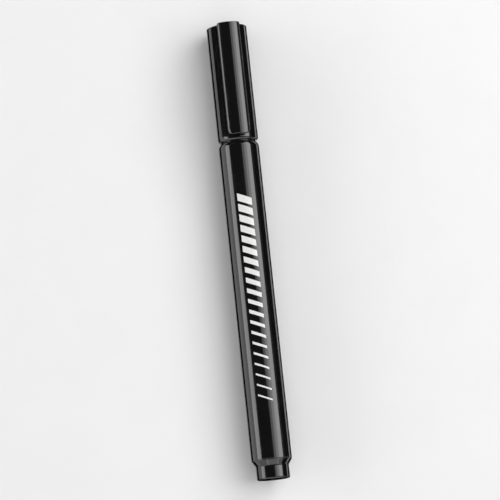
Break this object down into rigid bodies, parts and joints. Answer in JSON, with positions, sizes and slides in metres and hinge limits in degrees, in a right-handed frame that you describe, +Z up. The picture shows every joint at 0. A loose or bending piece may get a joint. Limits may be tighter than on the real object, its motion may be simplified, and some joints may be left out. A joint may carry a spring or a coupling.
{
  "type": "marker pen",
  "caption": "Capped fibre-tip marker for invisible ink: slim glossy black barrel, flush cap with a full-length pocket clip that flexes, pull-off turning cap, stepped tail.",
  "frame": {"origin": "middle of the pen's length, on the surface that it lies on, under its axis", "axes": "+Y along the pen from the tail to the cap's top, +Z up through the pocket clip, +X across"},
  "size_m": [0.012, 0.135, 0.0148],
  "materials": {
    "gloss_black": "glossy injection-moulded polypropylene",
    "satin_black": "satin injection-moulded polypropylene",
    "liner_natural": "milky natural polyethylene",
    "nib_fibre": "bonded fibre",
    "core_fibre": "fibre bundle soaked with clear ink",
    "wrap_film": "thin clear film"
  },
  "bodies": {
    "pen_body": {"barrel": "gloss_black", "tail_plug": "gloss_black", "ink_reservoir": "core_fibre", "reservoir_film": "wrap_film", "nose_cone": "satin_black", "nib": "nib_fibre"},
    "liner": {"cap_liner": "liner_natural"},
    "cap": {"cap_shell": "gloss_black", "cap_crown": "gloss_black"},
    "clip": {"pocket_clip": "gloss_black"}
  },
  "joints": [
    {"name": "cap_pull", "type": "slide", "parent": "pen_body", "child": "liner", "axis": [0, 1, 0], "range_m": [0, 0.04]},
    {"name": "cap_twist", "type": "hinge", "parent": "liner", "child": "cap", "pos_m": [0, 0.05, 0.006], "axis": [0, 1, 0], "continuous": true},
    {"name": "clip_flex", "type": "hinge", "parent": "cap", "child": "clip", "pos_m": [0, 0.0653, 0.0094], "axis": [-1, 0, 0], "range_deg": [0, 4], "stiffness_Nm_per_rad": 0.3}
  ]
}
